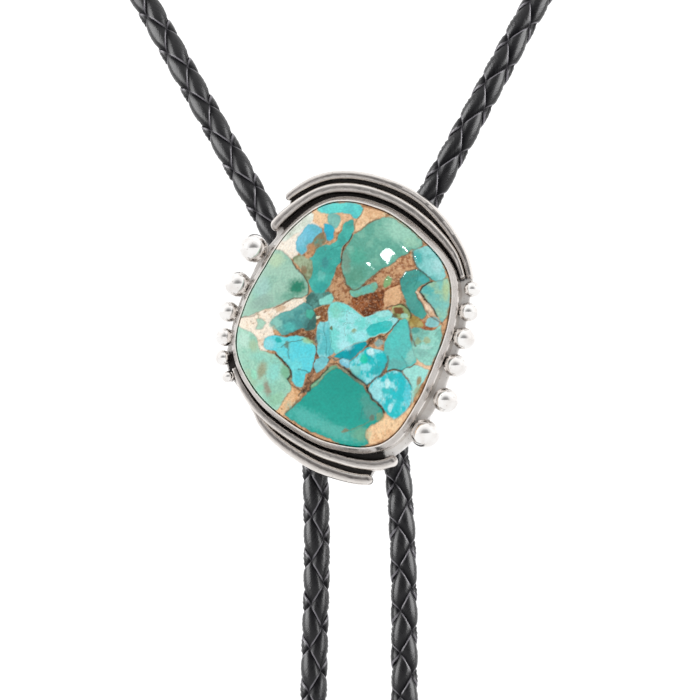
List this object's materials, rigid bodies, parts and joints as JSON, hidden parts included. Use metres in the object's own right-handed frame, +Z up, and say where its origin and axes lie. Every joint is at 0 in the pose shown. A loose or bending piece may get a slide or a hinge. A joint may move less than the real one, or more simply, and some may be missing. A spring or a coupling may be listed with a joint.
{
  "type": "bolo tie",
  "caption": "Bolo tie: a braided leather cord loop with two tipped tails, run through an oval silver slide set with a domed turquoise stone.",
  "frame": {"origin": "the nape: the underside of the neck loop at the top of its arch, where it sits on the neck", "axes": "+Z up, -Y the way the slide faces, +X to the right as a viewer in front of the slide sees it"},
  "size_m": [0.1308, 0.0596, 0.3225],
  "materials": {
    "silver": "polished silver, with blackened channels",
    "turquoise": "polished composite turquoise with bronze matrix",
    "clip_metal": "plain satin plating",
    "braided_leather": "glossy black braided leather",
    "tip_metal": "polished silver plating"
  },
  "bodies": {
    "root": {"silver_setting": "silver", "turquoise_stone": "turquoise", "cord_clip": "clip_metal", "neck_cord": "braided_leather", "left_tail": "braided_leather", "right_tail": "braided_leather", "left_tip": "tip_metal", "right_tip": "tip_metal"}
  },
  "joints": []
}
